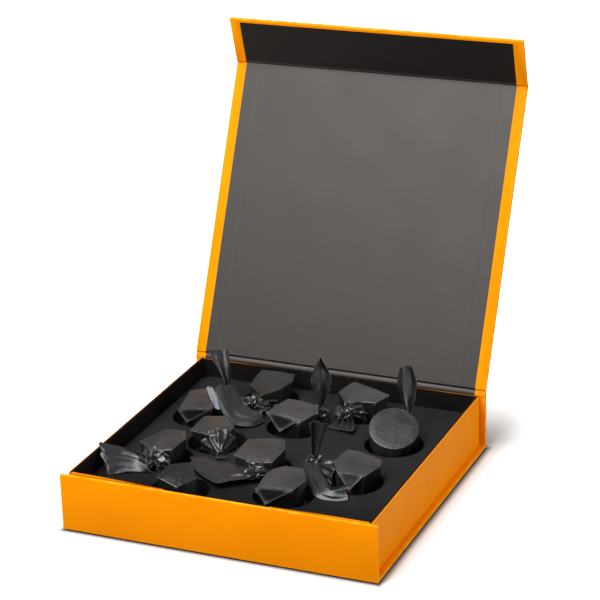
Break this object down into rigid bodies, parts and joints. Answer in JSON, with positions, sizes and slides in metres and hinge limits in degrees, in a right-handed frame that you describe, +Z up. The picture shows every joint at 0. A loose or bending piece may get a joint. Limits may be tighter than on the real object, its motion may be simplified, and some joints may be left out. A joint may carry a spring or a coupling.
{
  "type": "chocolate gift box",
  "caption": "Fold-flat rigid gift box with a hinged lid, a magnetic closing flap and a formed tray that holds twist-wrapped chocolate pralines.",
  "frame": {"origin": "centre of the base's underside", "axes": "+X to the right as seen from the front, +Y to the hinged back, +Z up"},
  "size_m": [0.22, 0.3011, 0.271],
  "materials": {
    "orange_paper": "smooth printed paper, satin",
    "greyboard": "raw greyboard",
    "black_paper": "matte black lining paper",
    "wall_board": "wrapped board",
    "tape": "double-sided tape",
    "magnet": "bare magnet",
    "steel": "thin steel disc",
    "tray": "matte black formed sheet",
    "wax_paper": "satin black waxed paper",
    "chocolate": "smooth dark chocolate"
  },
  "bodies": {
    "carton": {"base_wrap": "orange_paper", "base_board": "greyboard", "base_lining": "black_paper", "front_wrap": "orange_paper", "front_board": "greyboard", "front_lining": "black_paper", "spine_wrap": "orange_paper", "spine_board": "greyboard", "spine_lining": "black_paper", "catch_plates": "steel", "lid_crease": "orange_paper", "left_wall": "wall_board", "left_wall_lining": "black_paper", "left_front_gusset": "wall_board", "left_back_gusset": "wall_board", "right_wall": "wall_board", "right_wall_lining": "black_paper", "right_front_gusset": "wall_board", "right_back_gusset": "wall_board", "gusset_tapes": "tape", "insert_tray": "tray"},
    "lid": {"lid_wrap": "orange_paper", "lid_board": "greyboard", "lid_lining": "black_paper", "flap_crease": "orange_paper"},
    "flap": {"flap_wrap": "orange_paper", "flap_board": "greyboard", "flap_lining": "black_paper", "flap_magnets": "magnet"},
    "praline_a": {"chocolate_a": "chocolate", "wrapper_a": "wax_paper", "tail_a": "wax_paper"},
    "praline_b": {"chocolate_b": "chocolate", "wrapper_b": "wax_paper"},
    "praline_c": {"chocolate_c": "chocolate", "wrapper_c": "wax_paper"},
    "praline_d": {"chocolate_d": "chocolate", "wrapper_d": "wax_paper", "tail_d": "wax_paper"},
    "praline_e": {"chocolate_e": "chocolate", "wrapper_e": "wax_paper"},
    "praline_f": {"chocolate_f": "chocolate", "wrapper_f": "wax_paper", "tail_f": "wax_paper"},
    "praline_g": {"chocolate_g": "chocolate", "wrapper_g": "wax_paper"},
    "praline_h": {"chocolate_h": "chocolate", "wrapper_h": "wax_paper"},
    "praline_i": {"chocolate_i": "chocolate", "wrapper_i": "wax_paper"},
    "praline_j": {"chocolate_j": "chocolate", "wrapper_j": "wax_paper"},
    "praline_k": {"chocolate_k": "chocolate", "wrapper_k": "wax_paper", "tail_k": "wax_paper"}
  },
  "joints": [
    {"name": "lid_hinge", "type": "hinge", "parent": "carton", "child": "lid", "pos_m": [0, 0.105, 0.042], "axis": [-1, 0, 0], "range_deg": [-115.2, 64.8], "deforming": ["lid_crease", "tail_a", "tail_d", "tail_f", "tail_k"]},
    {"name": "flap_hinge", "type": "hinge", "parent": "lid", "child": "flap", "pos_m": [0, 0.19565, 0.23464], "axis": [-1, 0, 0], "range_deg": [-48.5, 41.5], "deforming": ["flap_crease"]},
    {"name": "praline_a_lift", "type": "slide", "parent": "carton", "child": "praline_a", "axis": [0, 0, 1], "range_m": [0, 0.06]},
    {"name": "praline_b_lift", "type": "slide", "parent": "carton", "child": "praline_b", "axis": [0, 0, 1], "range_m": [0, 0.06]},
    {"name": "praline_c_lift", "type": "slide", "parent": "carton", "child": "praline_c", "axis": [0, 0, 1], "range_m": [0, 0.06]},
    {"name": "praline_d_lift", "type": "slide", "parent": "carton", "child": "praline_d", "axis": [0, 0, 1], "range_m": [0, 0.06]},
    {"name": "praline_e_lift", "type": "slide", "parent": "carton", "child": "praline_e", "axis": [0, 0, 1], "range_m": [0, 0.06]},
    {"name": "praline_f_lift", "type": "slide", "parent": "carton", "child": "praline_f", "axis": [0, 0, 1], "range_m": [0, 0.06]},
    {"name": "praline_g_lift", "type": "slide", "parent": "carton", "child": "praline_g", "axis": [0, 0, 1], "range_m": [0, 0.06]},
    {"name": "praline_h_lift", "type": "slide", "parent": "carton", "child": "praline_h", "axis": [0, 0, 1], "range_m": [0, 0.06]},
    {"name": "praline_i_lift", "type": "slide", "parent": "carton", "child": "praline_i", "axis": [0, 0, 1], "range_m": [0, 0.06]},
    {"name": "praline_j_lift", "type": "slide", "parent": "carton", "child": "praline_j", "axis": [0, 0, 1], "range_m": [0, 0.06]},
    {"name": "praline_k_lift", "type": "slide", "parent": "carton", "child": "praline_k", "axis": [0, 0, 1], "range_m": [0, 0.06]}
  ]
}
